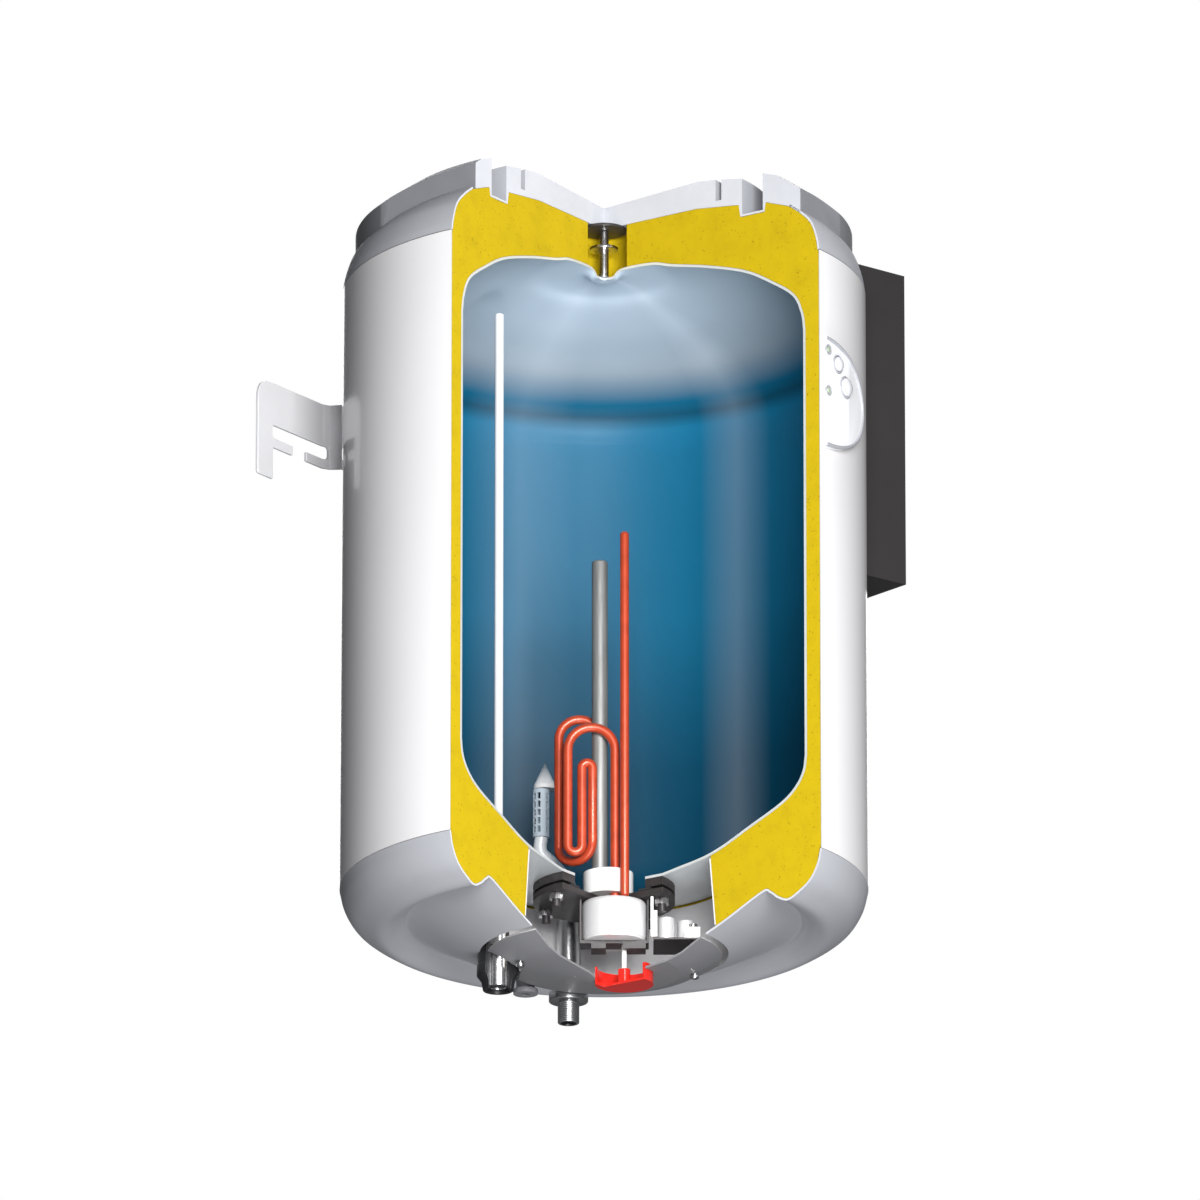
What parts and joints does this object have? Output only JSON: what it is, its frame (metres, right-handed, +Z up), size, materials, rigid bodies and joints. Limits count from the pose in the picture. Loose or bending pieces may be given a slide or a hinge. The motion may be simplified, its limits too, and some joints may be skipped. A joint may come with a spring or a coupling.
{
  "type": "tank water heater",
  "caption": "Wall-hung electric storage water heater with a quarter cut away to show its insulated enamelled tank, heating element, anode and thermostat.",
  "frame": {"origin": "in the wall plane, midway between the two hooks of the wall bracket, at half the height of its band", "axes": "+Z up along the tank, +Y into the wall, -Y out of the front with the control panel, +X to the right for someone facing the front of the heater. The removed quarter is at -X, -Y of the tank axis"},
  "size_m": [0.5596, 0.5453, 0.7976],
  "materials": {
    "casing_enamel": "gloss baked enamel on steel sheet",
    "cap_plastic": "satin moulded grey plastic",
    "cover_plastic": "satin moulded grey plastic",
    "tank_enamel": "glossy blue vitreous enamel on steel",
    "foam": "rigid polyurethane foam, cut face",
    "sleeve": "light grey moulded sleeve",
    "zinc_steel": "bright zinc-plated steel",
    "dark_steel": "dark phosphated steel",
    "gasket_rubber": "black moulded rubber",
    "white_plastic": "white moulded plastic",
    "element_copper": "red-orange coated copper tube",
    "anode_metal": "cast grey magnesium, matt",
    "thermostat_metal": "bright drawn can",
    "dial_red": "red translucent plastic",
    "pipe_metal": "white-grey smooth tube",
    "black_plastic": "black reinforced plastic",
    "cage_plastic": "pale blue-grey slotted plastic",
    "bracket_paint": "light grey painted steel",
    "buffer_rubber": "dark rubber",
    "button_plastic": "light grey domed plastic",
    "lamp_lens": "translucent grey-green lens",
    "panel_plastic": "white moulded plastic with grey rim",
    "housing_plastic": "dark grey moulded plastic",
    "board": "green circuit laminate"
  },
  "bodies": {
    "shell": {"casing_mantle": "casing_enamel", "top_cap": "cap_plastic", "bottom_cap": "cap_plastic", "service_cover": "cover_plastic", "tank_shell": "tank_enamel", "foam_insulation": "foam", "foam_dam": "sleeve", "cover_screw_1": "zinc_steel", "cover_screw_2": "zinc_steel", "flange_ring": "dark_steel", "flange_gasket": "gasket_rubber", "flange_plate": "dark_steel", "element_boss": "white_plastic", "heating_element": "element_copper", "anode_rod": "anode_metal", "thermostat_pocket": "element_copper", "thermostat_body": "thermostat_metal", "thermostat_frame": "dark_steel", "terminal_bracket": "dark_steel", "bracket_post_1": "zinc_steel", "bracket_post_2": "zinc_steel", "terminal_block": "white_plastic", "cable_clamp": "white_plastic", "clamp_screw": "zinc_steel", "hot_nipple": "zinc_steel", "hot_outlet_tube": "pipe_metal", "cold_nipple": "zinc_steel", "dielectric_union": "black_plastic", "cold_inlet_pipe": "pipe_metal", "cold_diffuser_cage": "cage_plastic", "diffuser_hood": "white_plastic", "top_stud": "zinc_steel", "top_washer": "dark_steel", "stud_clip": "zinc_steel", "cable_gland": "black_plastic", "wall_bracket": "bracket_paint", "wall_buffer": "buffer_rubber", "lamp_upper": "lamp_lens", "lamp_lower": "lamp_lens", "control_panel": "panel_plastic", "side_housing": "housing_plastic", "control_board": "board", "flange_nut_1": "zinc_steel", "flange_nut_2": "zinc_steel", "flange_nut_3": "zinc_steel", "flange_nut_4": "zinc_steel", "flange_nut_5": "zinc_steel"},
    "dial": {"adjuster_dial": "dial_red", "adjuster_stem": "white_plastic"},
    "upper_button": {"button_upper": "button_plastic"},
    "lower_button": {"button_lower": "button_plastic"}
  },
  "joints": [
    {"name": "dial_turn", "type": "hinge", "parent": "shell", "child": "dial", "pos_m": [0.005, -0.3025, -0.5745], "axis": [0, 0, 1], "range_deg": [-135, 135]},
    {"name": "upper_button_press", "type": "slide", "parent": "shell", "child": "upper_button", "axis": [-0.0868, 0.9962, 0], "range_m": [0, 0.0015], "stiffness_N_per_m": 400, "springref_m": -0.001},
    {"name": "lower_button_press", "type": "slide", "parent": "shell", "child": "lower_button", "axis": [-0.1465, 0.9892, 0], "range_m": [0, 0.0015], "stiffness_N_per_m": 400, "springref_m": -0.001}
  ]
}
